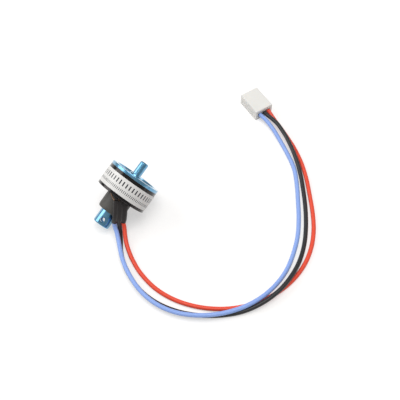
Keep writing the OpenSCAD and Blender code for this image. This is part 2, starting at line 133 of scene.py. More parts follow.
def turned_coordinates(material):
    """Radius and station as a vector, so that a pattern made from it runs in rings, as a lathe's marks do."""
    place = motor_coordinates(material)
    flat = add(material, "VectorMath", {0: place, 1: (1, 1, 0)}, operation="MULTIPLY")["Vector"]
    radius = add(material, "VectorMath", {0: flat}, operation="LENGTH")["Value"]
    station = add(material, "SeparateXYZ", {"Vector": place})["Z"]
    return add(material, "CombineXYZ", {"X": radius, "Y": station})["Vector"]


def anodised_aluminium():
    """Turned, dyed and sealed aluminium: a blurred blue mirror under a clear skin that glints white.

    The lathe marks are drawn 0.16 mm apart, coarser than the real ones, so that a close view shows them.
    """
    material, shader = start_material("blue_anodised_aluminium")
    shader.inputs["Metallic"].default_value = 1
    shader.inputs["Coat Weight"].default_value = 1
    shader.inputs["Coat Roughness"].default_value = 0.12
    shader.inputs["Coat IOR"].default_value = 1.7
    rings = turned_coordinates(material)
    marks = add(material, "TexNoise", {
        "Vector": rings, "Scale": 1 / (0.16 * MM), "Detail": 3,
    }, noise_dimensions="2D")
    place = add(material, "TexCoord", {})["Object"]
    dye = add(material, "TexNoise", {"Vector": place, "Scale": 1 / (3 * MM), "Detail": 2})
    shade = add(material, "MapRange", {"Value": dye["Fac"], "From Min": 0.35, "From Max": 0.65})
    tint = add(material, "MixRGB", {
        "Fac": shade["Result"], "Color1": linear("#5599c1"), "Color2": linear("#6aaacc"),
    })
    rough = add(material, "MapRange", {"Value": marks["Fac"], "To Min": 0.2, "To Max": 0.34})
    bump = add(material, "Bump", {"Height": marks["Fac"], "Strength": 0.12, "Distance": 0.02 * MM})
    join(material, tint["Color"], shader.inputs["Base Color"])
    join(material, rough["Result"], shader.inputs["Roughness"])
    join(material, bump["Normal"], shader.inputs["Normal"])
    return material


def black_oxide_steel():
    """Blackened and oiled steel tube: a near-black mirror, browner in patches, with a soft gleam of oil."""
    material, shader = start_material("black_oxide_steel")
    shader.inputs["Metallic"].default_value = 1
    shader.inputs["Coat Weight"].default_value = 0.5
    shader.inputs["Coat Roughness"].default_value = 0.15
    place = add(material, "TexCoord", {})["Object"]
    patches = add(material, "TexNoise", {"Vector": place, "Scale": 1 / (2.5 * MM), "Detail": 4})
    grain = add(material, "TexNoise", {"Vector": place, "Scale": 1 / (0.12 * MM), "Detail": 2})
    tint = add(material, "MixRGB", {
        "Fac": patches["Fac"], "Color1": linear("#252324"), "Color2": linear("#2f2c2b"),
    })
    rough = add(material, "MapRange", {"Value": patches["Fac"], "To Min": 0.16, "To Max": 0.28})
    bump = add(material, "Bump", {"Height": grain["Fac"], "Strength": 0.15, "Distance": 0.02 * MM})
    join(material, tint["Color"], shader.inputs["Base Color"])
    join(material, rough["Result"], shader.inputs["Roughness"])
    join(material, bump["Normal"], shader.inputs["Normal"])
    return material


def plain_metal(name, low, high, rough):
    """A bare or plated metal: it mirrors its surroundings, dulled by slight stains and a fine grain."""
    material, shader = start_material(name)
    shader.inputs["Metallic"].default_value = 1
    place = add(material, "TexCoord", {})["Object"]
    stains = add(material, "TexNoise", {"Vector": place, "Scale": 1 / (1.2 * MM), "Detail": 3})
    fine = add(material, "TexNoise", {"Vector": place, "Scale": 1 / (0.15 * MM), "Detail": 2})
    tint = add(material, "MixRGB", {"Fac": stains["Fac"], "Color1": linear(low), "Color2": linear(high)})
    gloss = add(material, "MapRange", {"Value": stains["Fac"], "To Min": rough[0], "To Max": rough[1]})
    bump = add(material, "Bump", {"Height": fine["Fac"], "Strength": 0.1, "Distance": 0.01 * MM})
    join(material, tint["Color"], shader.inputs["Base Color"])
    join(material, gloss["Result"], shader.inputs["Roughness"])
    join(material, bump["Normal"], shader.inputs["Normal"])
    return material


def sheet_steel_stack():
    """Coated silicon-steel sheets seen on their edges, as fine dark lines across the stack."""
    material, shader = start_material("silicon_steel_sheets")
    shader.inputs["Metallic"].default_value = 0.8
    station = add(material, "SeparateXYZ", {"Vector": motor_coordinates(material)})["Z"]
    sheets = add(material, "Math", {0: station, 1: 0.35 * MM}, operation="DIVIDE")
    part = add(material, "Math", {0: sheets["Value"]}, operation="FRACT")
    joint = add(material, "MapRange", {"Value": part["Value"], "From Min": 0.75, "From Max": 0.9},
                interpolation_type="SMOOTHSTEP")
    tint = add(material, "MixRGB", {
        "Fac": joint["Result"], "Color1": linear("#85888c"), "Color2": linear("#3a3b3d"),
    })
    bump = add(material, "Bump", {
        "Height": joint["Result"], "Strength": 0.4, "Distance": 0.05 * MM,
    }, invert=True)
    shader.inputs["Roughness"].default_value = 0.42
    join(material, tint["Color"], shader.inputs["Base Color"])
    join(material, bump["Normal"], shader.inputs["Normal"])
    return material


def soft_plastic(name, low, high, rough, grain, depth, sheen=0.0):
    """A dull polymer: its colour and gloss drift a little. Grain and depth are its skin's, in millimetres."""
    material, shader = start_material(name)
    place = add(material, "TexCoord", {})["Object"]
    drift = add(material, "TexNoise", {"Vector": place, "Scale": 1 / (4 * MM), "Detail": 3})
    skin = add(material, "TexNoise", {"Vector": place, "Scale": 1 / (grain * MM), "Detail": 3})
    tint = add(material, "MixRGB", {"Fac": drift["Fac"], "Color1": linear(low), "Color2": linear(high)})
    gloss = add(material, "MapRange", {"Value": skin["Fac"], "To Min": rough[0], "To Max": rough[1]})
    bump = add(material, "Bump", {"Height": skin["Fac"], "Strength": 0.3, "Distance": depth * MM})
    shader.inputs["Sheen Weight"].default_value = sheen
    join(material, tint["Color"], shader.inputs["Base Color"])
    join(material, gloss["Result"], shader.inputs["Roughness"])
    join(material, bump["Normal"], shader.inputs["Normal"])
    return material


def nylon():
    """Natural moulded nylon: milky, so that light goes a little way in, with a soft gloss."""
    material = soft_plastic("natural_nylon", "#f6f4ef", "#f0eee9", rough=(0.3, 0.42), grain=0.4, depth=0.02)
    shader = material.node_tree.nodes["Principled BSDF"]
    shader.inputs["IOR"].default_value = 1.53
    shader.inputs["Subsurface Weight"].default_value = 0.6
    shader.inputs["Subsurface Radius"].default_value = (1, 0.95, 0.9)
    shader.inputs["Subsurface Scale"].default_value = 1.2 * MM
    return material


# Rows of bars on the label: degrees from bar to bar, degrees across one, and the shares of the film's
# height at which it starts and ends
LABEL_ROWS = [(4, 1.4, 0.2, 0.36), (8, 2.8, 0.52, 0.8)]


def label_film():
    """White polyester film printed with plain graduations in grey, under a satin lacquer."""
    material, shader = start_material("white_label_film")
    place = motor_coordinates(material)
    parts = add(material, "SeparateXYZ", {"Vector": place})
    turn = add(material, "Math", {0: parts["Y"], 1: parts["X"]}, operation="ARCTAN2")["Value"]
    rear, front, _, _ = span("label_wrap")
    height = add(material, "MapRange", {"Value": parts["Z"], "From Min": rear, "From Max": front})["Result"]

    def bars(step, width, low, high):
        """One where a row of bars has ink, and zero elsewhere."""
        steps = add(material, "Math", {0: turn, 1: radians(step)}, operation="DIVIDE")["Value"]
        part = add(material, "Math", {0: steps}, operation="FRACT")["Value"]
        middle = add(material, "Math", {0: part, 1: 0.5}, operation="SUBTRACT")["Value"]
        away = add(material, "Math", {0: middle}, operation="ABSOLUTE")["Value"]
        across = add(material, "Math", {0: away, 1: width / step / 2}, operation="LESS_THAN")["Value"]
        above = add(material, "Math", {0: height, 1: low}, operation="GREATER_THAN")["Value"]
        below = add(material, "Math", {0: height, 1: high}, operation="LESS_THAN")["Value"]
        row = add(material, "Math", {0: above, 1: below}, operation="MULTIPLY")["Value"]
        return add(material, "Math", {0: across, 1: row}, operation="MULTIPLY")["Value"]

    small, tall = [bars(*row) for row in LABEL_ROWS]
    marks = add(material, "Math", {0: small, 1: tall}, operation="MAXIMUM")["Value"]
    cloud = add(material, "TexNoise", {"Vector": place, "Scale": 1 / (3 * MM), "Detail": 2})["Fac"]
    film = add(material, "MixRGB", {"Fac": cloud, "Color1": linear("#f2f1ee"), "Color2": linear("#e8e7e4")})
    tint = add(material, "MixRGB", {"Fac": marks, "Color1": film["Color"], "Color2": linear("#34353c")})
    shader.inputs["Roughness"].default_value = 0.34
    join(material, tint["Color"], shader.inputs["Base Color"])
    return material


def silicone(name, low, high, rough):
    """Extruded silicone rubber: smooth and softly glossy, with a faint dusty bloom at its edges."""
    return soft_plastic(name, low, high, rough, grain=0.25, depth=0.02, sheen=0.15)


def make_materials():
    return {
        "blue_anodised": anodised_aluminium(),
        "black_steel": black_oxide_steel(),
        "white_label": label_film(),
        # Centreless grinding leaves a bright, slightly blurred mirror
        "shaft_steel": plain_metal("ground_steel", "#c9cbce", "#bfc1c5", rough=(0.18, 0.26)),
        # Tempering leaves a dark grey-blue film on the spring steel
        "spring_steel": plain_metal("blued_spring_steel", "#6a6c72", "#55575c", rough=(0.28, 0.4)),
        # Lapped races and balls are the sharpest mirrors in the motor
        "bearing_steel": plain_metal("polished_bearing_steel", "#d4d6d9", "#c8cacd", rough=(0.08, 0.16)),
        # Turned brass has a warm, half-dull shine
        "brass": plain_metal("turned_brass", "#d9b765", "#c9a352", rough=(0.22, 0.34)),
        "lamination_steel": sheet_steel_stack(),
        # Powder coat melted onto the stack: deep green with a soft gloss
        "green_insulation": soft_plastic("green_epoxy_coat", "#1d5a36", "#17492c", rough=(0.3, 0.45),
                                         grain=0.3, depth=0.03),
        # Clear enamel keeps the drawn wire's brown-pink shine
        "copper_enamel": plain_metal("enamelled_copper", "#a98a72", "#8b6c57", rough=(0.2, 0.34)),
        # Nickel plating gives a grey mirror, a little duller than ground steel
        "magnet_nickel": plain_metal("nickel_plate", "#b9bbbe", "#a6a8ac", rough=(0.16, 0.3)),
        # Thick sleeve, greyed and dulled where the heat shrank it
        "black_sleeve": soft_plastic("shrunk_polyolefin", "#54524e", "#494642", rough=(0.42, 0.58),
                                     grain=0.35, depth=0.05),
        # Thin sleeve stretched over the leads, a little glossier; its darker colour is painted shade, the same
        # sleeve as it looks in shade
        "shaded_sleeve": soft_plastic("shaded_shrunk_polyolefin", "#302c2b", "#272322", rough=(0.36, 0.5),
                                    grain=0.3, depth=0.04),
        # Molten solder sets with a bright skin
        "solder": plain_metal("tin_solder", "#d0d1d4", "#b5b6b9", rough=(0.12, 0.3)),
        "blue_silicone": silicone("blue_silicone_rubber", "#9dbcfb", "#92b2f8", rough=(0.36, 0.5)),
        "black_silicone": silicone("black_silicone_rubber", "#1f2022", "#2a2a2c", rough=(0.34, 0.48)),
        "red_silicone": silicone("red_silicone_rubber", "#fb5537", "#f64b2f", rough=(0.36, 0.5)),
        "white_nylon": nylon(),
        # Stamped and tin-plated strip, bright but not sharp
        "tin_plate": plain_metal("tin_plate", "#d2d3d6", "#c2c3c6", rough=(0.2, 0.32)),
    }


# Leads, with the routes of the solid ones
LEAD_R = 0.8
LEAD_PITCH = 1.7
LEAD_SPREAD = Vector((0.78, -0.516, -0.352))
SLEEVE_ROUTE = [(-4.4, -3.9, 12.2), (-5.6, -4.8, 10.6), (-6.6, -5.5, 9.2), (-7.5, -6, 7.7), (-8, -6, 6.4)]
LEAD_ROUTES = {
    "blue": [
        (-9.8, -5.7, 5.2), (-10.5, -7.2, 3.8), (-11.9, -9.3, 2.9), (-13.9, -12.1, 2.5), (-16.5, -16, 2.5),
        (-19.1, -21.6, 2.5), (-21.1, -29, 2.4), (-21.2, -36.5, 2.4), (-19.2, -43.5, 2.4), (-15.1, -49.9, 2.4),
        (-9.5, -55.3, 2.4), (-3, -59.4, 2.6), (4.1, -61.8, 2.5), (11.6, -62.4, 1.9), (19.1, -61.4, 1.2),
        (26.3, -58.9, 0.8), (33.1, -55.5, 0.8), (39.2, -51.2, 0.8), (45, -46.3, 0.8), (50.7, -41.2, 0.8),
        (55.9, -35.7, 0.8), (59.8, -29.2, 0.8), (63.1, -22.4, 1), (65, -17.8, 1.4), (66.2, -13.1, 2),
    ],
    "black": [
        (-8.4, -6.6, 4.5), (-9.4, -7.8, 2.5), (-11, -9.5, 1.3), (-13.4, -11.9, 0.8), (-16.1, -15.6, 0.8),
        (-18.7, -21.1, 0.8), (-20.5, -28.5, 0.8), (-20.2, -36, 0.8), (-18, -43.1, 0.8), (-14.2, -49.7, 0.8),
        (-9.1, -55.5, 0.8), (-3, -60.3, 1.1), (3.8, -63.5, 2.1), (11.1, -64.8, 2.5), (18.6, -64.3, 2.4),
        (25.8, -62.3, 1.3), (32.7, -59, 0.8), (38.9, -54.8, 0.8), (44.8, -49.9, 0.8), (50.3, -44.6, 0.8),
        (55.5, -39, 1.1), (59.9, -33, 1.9), (63.7, -26.5, 2.5), (65.9, -22, 2.5), (67.6, -17.3, 2.5),
    ],
    "red": [
        (-7.5, -8.1, 4.3), (-8.8, -9.6, 3.1), (-10.3, -11.5, 2), (-12, -14.4, 1.2), (-13.9, -18.5, 0.8),
        (-15.7, -24.2, 0.8), (-16.5, -31.8, 0.8), (-15.4, -39.3, 0.8), (-12.6, -46.3, 0.8),
        (-8.4, -52.6, 0.8), (-3, -57.9, 0.8), (3.5, -61.9, 0.8), (10.7, -64.4, 0.8), (18.2, -65.3, 0.8),
        (25.7, -64.5, 0.8), (32.8, -62, 0.8), (39.2, -58.1, 0.8), (45, -53.1, 0.8), (50.4, -47.5, 0.8),
        (55.5, -41.9, 0.8), (60, -35.9, 0.8), (63.7, -29.4, 0.8), (65.7, -24.8, 0.8), (67.5, -20.1, 0.9),
        (69, -15.4, 1.3),
    ],
}
LEAD_ORDER = ["blue", "black", "red"]
PLUG_PLACE = Vector((68.4, -10.3, 2.4))
PLUG_TURN = radians(-15)
PLUG_PITCH = 2
PLUG_SIDE = Vector((cos(PLUG_TURN), sin(PLUG_TURN), 0))


def smooth_curve(name, points, radius, lowest=None, sides=12, steps=8):
    """A round wire on a smooth line through the points, in metres, which never dips below lowest."""
    data = bpy.data.curves.new(name, "CURVE")
    data.dimensions = "3D"
    data.bevel_depth = radius
    data.bevel_resolution = sides // 4
    data.resolution_u = steps
    data.use_fill_caps = True
    spline = data.splines.new("BEZIER")
    spline.bezier_points.add(len(points) - 1)
    last = len(points) - 1
    for i, (knot, point) in enumerate(zip(spline.bezier_points, points)):
        before = points[max(i - 1, 0)]
        after = points[min(i + 1, last)]
        way = (after - before).normalized()
        knot.handle_left_type = "FREE"
        knot.handle_right_type = "FREE"
        knot.co = point
        knot.handle_left = point - way * (point - before).length / 3
        knot.handle_right = point + way * (after - point).length / 3
        if lowest is not None:
            knot.handle_left.z = max(knot.handle_left.z, lowest)
            knot.handle_right.z = max(knot.handle_right.z, lowest)
    made = bpy.data.objects.new(name, data)
    bpy.context.scene.collection.objects.link(made)
    return made


def lead_route(colour):
    """A lead's points in metres, from the end of its sleeve to the wire end of the plug."""
    i = LEAD_ORDER.index(colour) - 1
    leaves = Vector(SLEEVE_ROUTE[-1]) + LEAD_SPREAD * LEAD_PITCH * i
    enters = PLUG_PLACE + PLUG_SIDE * PLUG_PITCH * i
    return [p * MM for p in [leaves, *map(Vector, LEAD_ROUTES[colour]), enters]]


def make_leads():
    for colour in LEAD_ORDER:
        route = lead_route(colour)
        lead = smooth_curve(f"{colour}_silicone_lead", route, LEAD_R * MM, lowest=LEAD_R * MM, sides=24)
        dress(lead, f"{colour}_silicone", "stator", f"{colour}_lead")


# Ways to make and dress a piece
def dress(piece, slot, body, *replaced, look=None):
    """Gives a piece its material and its body, and hides the solids that it stands for."""
    piece.data.materials.append(materials[look or slot])
    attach(piece, body)
    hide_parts(*replaced)


def finished(name, shape, sharp=35):
    """A piece from a bmesh, smooth except along edges sharper than an angle in degrees."""
    mesh = bpy.data.meshes.new(name)
    for face in shape.faces:
        face.smooth = True
    shape.to_mesh(mesh)
    shape.free()
    mesh.set_sharp_from_angle(angle=radians(sharp))
    piece = bpy.data.objects.new(name, mesh)
    bpy.context.scene.collection.objects.link(piece)
    return piece


def rounded(corners, steps=4):
    """An outline through corners that are each a radius, a station and a rounding, in millimetres."""
    outline = []
    for i, (radius, station, size) in enumerate(corners):
        here = Vector((radius, station))
        if size == 0:
            outline.append(here)
            continue
        before = Vector(corners[i - 1][:2])
        after = Vector(corners[(i + 1) % len(corners)][:2])
        start = here + (before - here).normalized() * size
        end = here + (after - here).normalized() * size
        for k in range(steps + 1):
            t = k / steps
            outline.append(start * (1 - t) ** 2 + here * 2 * t * (1 - t) + end * t ** 2)
    return outline


TURN_STEPS = 144


def turned(outline, closed):
    """A shape turned round the motor's axis from an outline; an open one has both its ends on the axis."""
    shape = bmesh.new()
    knots = [shape.verts.new((p.x * MM, 0, p.y * MM)) for p in outline]
    pairs = zip(knots, knots[1:] + knots[:1]) if closed else zip(knots, knots[1:])
    edges = [shape.edges.new(pair) for pair in pairs]
    bmesh.ops.spin(shape, geom=knots + edges, axis=(0, 0, 1), angle=2 * pi, steps=TURN_STEPS, use_merge=True)
    bmesh.ops.remove_doubles(shape, verts=shape.verts, dist=0.001 * MM)
    bmesh.ops.recalc_face_normals(shape, faces=shape.faces)
    return shape


def draw_out(shape, face, places):
    """Carries a face from place to place and leaves a closed skin behind it."""
    for before, after in zip(places, places[1:]):
        made = bmesh.ops.extrude_face_region(shape, geom=[face])["geom"]
        face = next(part for part in made if isinstance(part, bmesh.types.BMFace))
        bmesh.ops.transform(shape, matrix=after @ before.inverted(), verts=list(face.verts))
    return face


# Front bell: flange, recess, seat and stub turned from one bar, with its edges broken
FLANGE_T = 1.2
RIM_W = 1.85
RIM_REAR_EDGE = 0.08
RIM_FRONT_EDGE = 0.22
RECESS_DEPTH = 0.5
RECESS_EDGE = 0.1
RECESS_FOOT = 0.15
SEAT_R = 2.4
SEAT_H = 0.7
SEAT_FOOT = 0.2
SEAT_EDGE = 0.15
STUB_R = 1.65
STUB_FOOT = 0.12
STUB_BEVEL_W = 0.35
STUB_BEVEL_LEN = 0.4
STUB_SIDE_EDGE = 0.1
STUB_TIP_EDGE = 0.08
DIMPLE_R = 0.45
DIMPLE_EDGE = 0.05
COLLAR_LEN = 0.8
COLLAR_WALL = 0.8
BOSS_WALL = 0.45
BOSS_FOOT = 0.2
HIDDEN_EDGE = 0.05


def make_front_bell():
    rear, tip, _, flange_r = [v / MM for v in span("front_bell")]
    _, ring_front, inner_r, _ = [v / MM for v in span("flux_ring")]
    _, shaft_front, _, shaft_r = [v / MM for v in span("shaft")]
    boss_r = shaft_r + BOSS_WALL
    collar_r = inner_r - COLLAR_WALL
    collar_rear = ring_front - COLLAR_LEN
    face = ring_front + FLANGE_T
    floor = face - RECESS_DEPTH
    outline = rounded([
        (0, shaft_front, 0),
        (shaft_r, shaft_front, 0),
        (shaft_r, rear, 0),
        (boss_r, rear, HIDDEN_EDGE),
        (boss_r, ring_front, BOSS_FOOT),
        (collar_r, ring_front, BOSS_FOOT),
        (collar_r, collar_rear, HIDDEN_EDGE),
        (inner_r, collar_rear, HIDDEN_EDGE),
        (inner_r, ring_front, 0),
        (flange_r, ring_front, RIM_REAR_EDGE),
        (flange_r, face, RIM_FRONT_EDGE),
        (flange_r - RIM_W, face, RECESS_EDGE),
        (flange_r - RIM_W - RECESS_FOOT, floor, RECESS_FOOT),
        (SEAT_R + SEAT_FOOT, floor, SEAT_FOOT),
        (SEAT_R, floor + SEAT_H, SEAT_EDGE),
        (STUB_R, floor + SEAT_H, STUB_FOOT),
        (STUB_R, tip - STUB_BEVEL_LEN, STUB_SIDE_EDGE),
        (STUB_R - STUB_BEVEL_W, tip, STUB_TIP_EDGE),
        (DIMPLE_R, tip, DIMPLE_EDGE),
        (0, tip - DIMPLE_R, 0),
    ])
    shape = turned(outline, closed=False)
    bmesh.ops.transform(shape, matrix=MOTOR, verts=shape.verts)
    dress(finished("turned_front_bell", shape), "blue_anodised", "rotor", "front_bell")


# Label: one strip of film round the flux ring, whose end lies over its beginning
FILM_T = 0.07
FILM_LAP = 14  # degrees of overlap
FILM_STEP = 2  # degrees from section to section
FILM_SHORT = 0.1  # how far short of the solid label's front edge the film stops
FILM_GAP = 0.005  # between the film and the ring


def make_label():
    rear, front, _, _ = [v / MM for v in span("label_wrap")]
    front -= FILM_SHORT
    low = span("flux_ring")[3] / MM + FILM_GAP
    high = low + FILM_T
    corner = FILM_T / 3
    section = rounded([(low, rear, 0), (high, rear, corner), (high, front, corner), (low, front, 0)])
    shape = bmesh.new()
    face = shape.faces.new([shape.verts.new((p.x * MM, 0, p.y * MM)) for p in section])
    places = []
    for degrees in range(0, 360 + FILM_LAP + 1, FILM_STEP):
        lift = FILM_T * min(max((degrees - 360 + FILM_LAP / 2) / (FILM_LAP / 2), 0), 1)
        out = Matrix.Translation((lift * MM, 0, 0))
        places.append(MOTOR @ Matrix.Rotation(radians(degrees), 4, "Z") @ out)
    bmesh.ops.transform(shape, matrix=places[0], verts=shape.verts)
    draw_out(shape, face, places)
    bmesh.ops.recalc_face_normals(shape, faces=shape.faces)
    dress(finished("wrapped_label", shape), "white_label", "rotor", "label_wrap")


# Hub: post, shoulder and tube turned from one bar, drilled across near the post's end
SHOULDER_REAR = 5.8
SHOULDER_FRONT = 11.5
SHOULDER_REAR_EDGE = 0.1
SHOULDER_FRONT_EDGE = 0.25
POST_R = 3.2
POST_EDGE = 0.4
POST_BORE_R = 1.7
POST_BORE_EDGE = 0.2
TUBE_EDGE = 0.1
BEARING_R = 2.5
CROSS_HOLE_R = 0.9
CROSS_HOLE_AT = 2.1
CROSS_HOLE_TURN = 17  # degrees round from straight down
CROSS_HOLE_BEVEL = 0.3
ROUND_FACING = 0.99  # least cosine between a face of the cylinder and straight outwards


def round_off(piece, low, high):
    """Gives the faces round the motor's axis between two stations the normals of a true cylinder."""
    mesh = piece.data
    normals = [corner.vector.copy() for corner in mesh.corner_normals]
    flat = Matrix.Diagonal((1, 1, 0, 1)) @ MOTOR.inverted()
    back = MOTOR.to_3x3()
    for face in mesh.polygons:
        station = (MOTOR.inverted() @ face.center).z / MM
        outward = (back @ (flat @ face.center)).normalized()
        if low < station < high and face.normal.dot(outward) > ROUND_FACING:
            for i in face.loop_indices:
                normals[i] = (back @ (flat @ mesh.vertices[mesh.loops[i].vertex_index].co)).normalized()
    mesh.normals_split_custom_set(normals)


def make_hub():
    rear, front, _, shoulder_r = [v / MM for v in span("hub")]
    seat = span("rear_outer_race")[0] / MM
    outline = rounded([
        (POST_BORE_R, rear, POST_BORE_EDGE),
        (POST_R, rear, POST_EDGE),
        (POST_R, SHOULDER_REAR, 0),
        (shoulder_r, SHOULDER_REAR, SHOULDER_REAR_EDGE),
        (shoulder_r, SHOULDER_FRONT, SHOULDER_FRONT_EDGE),
        (POST_R, SHOULDER_FRONT, TUBE_EDGE),
        (POST_R, front, TUBE_EDGE),
        (BEARING_R, front, TUBE_EDGE),
        (BEARING_R, seat, 0),
        (POST_BORE_R, seat, TUBE_EDGE),
    ])
    shape = turned(outline, closed=True)
    bmesh.ops.transform(shape, matrix=MOTOR, verts=shape.verts)
    hub = finished("turned_hub", shape)
    reach = POST_R + CROSS_HOLE_BEVEL
    widening = CROSS_HOLE_BEVEL * 2
    drill = turned([Vector(p) for p in (
        (0, -reach),
        (CROSS_HOLE_R + widening, -reach),
        (CROSS_HOLE_R, widening - reach),
        (CROSS_HOLE_R, reach - widening),
        (CROSS_HOLE_R + widening, reach),
        (0, reach),
    )], closed=False)
    place = MOTOR @ Matrix.Translation((0, 0, CROSS_HOLE_AT * MM))
    place = place @ Matrix.Rotation(radians(CROSS_HOLE_TURN), 4, "Z") @ Matrix.Rotation(pi / 2, 4, "Y")
    bmesh.ops.transform(drill, matrix=place, verts=drill.verts)
    cut_away(hub, finished("drill", drill))
    hub.data.set_sharp_from_angle(angle=radians(35))
    round_off(hub, rear + POST_EDGE, SHOULDER_REAR)
    dress(hub, "blue_anodised", "stator", "hub")


# Shrunk sleeve round the hub, a little uneven, and drawn in over the shoulder
SHOULDER_R = 4.6
SLEEVE_OVERHANG = 0.1  # how far it reaches past the shoulder
SLEEVE_LIP_EDGE = 0.1
SLEEVE_DRAWN_IN = 0.25  # how much narrower it is where it turns over the shoulder's edge
SLEEVE_DRAWN_LEN = 1
SLEEVE_BEND = 0.5
SLEEVE_SHOULDER_BEND = 0.6
SLEEVE_CUTS = 12  # rings added between the ends of the sleeve, on edges longer than LONG_EDGE
LONG_EDGE = 1
LUMP_HEIGHT = 0.05
LUMP_SIZE = 2.2
WAVE_HEIGHT = 0.12
WAVE_SIZE = 3
WAVE_BAND = 0.3  # length of the front end that the wavy cut moves


def make_hub_sleeve():
    rear, _, lip_r, outer_r = [v / MM for v in span("hub_sleeve")]
    front = SHOULDER_FRONT + SLEEVE_OVERHANG
    wall = outer_r - SHOULDER_R
    outline = rounded([
        (lip_r, rear + SLEEVE_LIP_EDGE, SLEEVE_LIP_EDGE),
        (outer_r - SLEEVE_DRAWN_IN, rear, SLEEVE_BEND),
        (outer_r, rear + SLEEVE_DRAWN_LEN, SLEEVE_SHOULDER_BEND),
        (outer_r, front, SLEEVE_LIP_EDGE),
        (SHOULDER_R, front, 0),
        (SHOULDER_R, rear + wall, 0),
        (lip_r, rear + wall, 0),
    ], steps=5)
    shape = turned(outline, closed=True)
    long_edges = [e for e in shape.edges if e.calc_length() > LONG_EDGE * MM]
    bmesh.ops.subdivide_edges(shape, edges=long_edges, cuts=SLEEVE_CUTS)
    for v in shape.verts:
        radius = hypot(v.co.x, v.co.y)
        if radius > (outer_r - wall / 2) * MM:
            swell = 1 + LUMP_HEIGHT * noise.noise(v.co / (LUMP_SIZE * MM)) * MM / radius
            v.co.x *= swell
            v.co.y *= swell
        if v.co.z > (front - WAVE_BAND) * MM:
            v.co.z += WAVE_HEIGHT * MM * noise.noise(v.co / (WAVE_SIZE * MM))
    bmesh.ops.transform(shape, matrix=MOTOR, verts=shape.verts)
    piece = finished("shrunk_hub_sleeve", shape, sharp=60)
    dress(piece, "black_sleeve", "stator", "hub_sleeve")


# Flat sleeve shrunk round the three leads, which show through it as three ridges
LEAD_SLEEVE_WALL = 0.2
RIDGE_DIP = 0.3  # share of the half thickness that the valleys between the leads lose
SLEEVE_START = (-3.8, -3.5, 12.9)  # its hidden end, further into the bell than the strands' ends
SLEEVE_RINGS = 6  # sections between two points of the route
RIDGE_STEPS = 16
END_STEPS = 10
CUT_END_DEPTH = 0.35


def sleeve_section():
    """Outline across the leads' sleeve, in millimetres: two ridged sides and two round ends."""
    thick = LEAD_R + LEAD_SLEEVE_WALL
    outline = []
    for side in (1, -1):
        for k in range(RIDGE_STEPS + 1):
            x = LEAD_PITCH * (1 - 2 * k / RIDGE_STEPS)
            dip = RIDGE_DIP * sin(pi * x / LEAD_PITCH) ** 2
            outline.append((side * x, side * thick * (1 - dip)))
        for k in range(1, END_STEPS):
            turn = pi / 2 + pi * k / END_STEPS
            outline.append((side * (thick * cos(turn) - LEAD_PITCH), side * thick * sin(turn)))
    return outline


def sleeve_places():
    """Axes across and along the leads' sleeve at each of its sections."""
    knots = [Vector(p) for p in [SLEEVE_START, *SLEEVE_ROUTE]]
    last = len(knots) - 1
    ways = [(knots[min(i + 1, last)] - knots[max(i - 1, 0)]).normalized() for i in range(len(knots))]
    places = []
    for i in range(last):
        reach = (knots[i + 1] - knots[i]).length
        for k in range(SLEEVE_RINGS if i < last - 1 else SLEEVE_RINGS + 1):
            t = k / SLEEVE_RINGS
            first, second = knots[i] + ways[i] * reach / 3, knots[i + 1] - ways[i + 1] * reach / 3
            here = knots[i] * (1 - t) ** 3 + first * 3 * t * (1 - t) ** 2
            here += second * 3 * t ** 2 * (1 - t) + knots[i + 1] * t ** 3
            way = ways[i].lerp(ways[i + 1], t).normalized()
            width = (LEAD_SPREAD - way * way.dot(LEAD_SPREAD)).normalized()
            place = Matrix((width, way.cross(width), way)).transposed().to_4x4()
            place.translation = here * MM
            places.append(place)
    return places


def make_lead_sleeve():
    places = sleeve_places()
    shape = bmesh.new()
    face = shape.faces.new([shape.verts.new((x * MM, y * MM, 0)) for x, y in sleeve_section()])
    bmesh.ops.transform(shape, matrix=places[0], verts=shape.verts)
    end = draw_out(shape, face, places)
    bmesh.ops.recalc_face_normals(shape, faces=shape.faces)
    bmesh.ops.inset_region(shape, faces=[end], thickness=LEAD_SLEEVE_WALL * MM, use_even_offset=True)
    inward = Matrix.Translation(places[-1].to_3x3() @ Vector((0, 0, -CUT_END_DEPTH * MM)))
    draw_out(shape, end, [Matrix.Identity(4), inward])
    piece = finished("shrunk_lead_sleeve", shape, sharp=60)
    # Painted shade: the leads' sleeve gets a darker copy of the sleeve's colour
    dress(piece, "black_sleeve", "stator", "lead_sleeve", look="shaded_sleeve")


# Copper wire: the windings, and the strands from three of them to the leads
WIRE_D = 0.33
WIRE_LAYERS = 2
WIRE_CORNER = 0.4
TOOTH_COUNT = 9


def make_winding(i):
    """Enamelled wire wound in two layers round one tooth, out to its shoe and back."""
    tooth = MOTOR @ Matrix.Rotation(2 * pi * (i - 1) / TOOTH_COUNT, 4, "Z")
    low, high = [corner / MM for corner in extent(f"winding_{i}", tooth)]
    turns = int((high.x - low.x) / WIRE_D)
    pitch = (high.x - low.x - WIRE_D) / turns
    middle = (low.z + high.z) / 2
    points = []
    for layer in range(WIRE_LAYERS):
        inset = WIRE_D * (WIRE_LAYERS - 1 / 2 - layer)
        wide, tall = high.y - inset, high.z - middle - inset
        loop = [
            (wide, WIRE_CORNER - tall), (wide, tall - WIRE_CORNER), (wide - WIRE_CORNER, tall),
            (WIRE_CORNER - wide, tall), (-wide, tall - WIRE_CORNER), (-wide, WIRE_CORNER - tall),
            (WIRE_CORNER - wide, -tall), (wide - WIRE_CORNER, -tall),
        ]
        for k in range(turns * len(loop)):
            y, z = loop[k % len(loop)]
            run = WIRE_D / 2 + pitch * k / len(loop)
            x = low.x + run if layer % 2 == 0 else high.x - run
            points.append(tooth @ (Vector((x, y, middle + z)) * MM))
    wire = smooth_curve(f"wound_wire_{i}", points, WIRE_D / 2 * MM, sides=8, steps=3)
    dress(wire, "copper_enamel", "stator", f"winding_{i}")


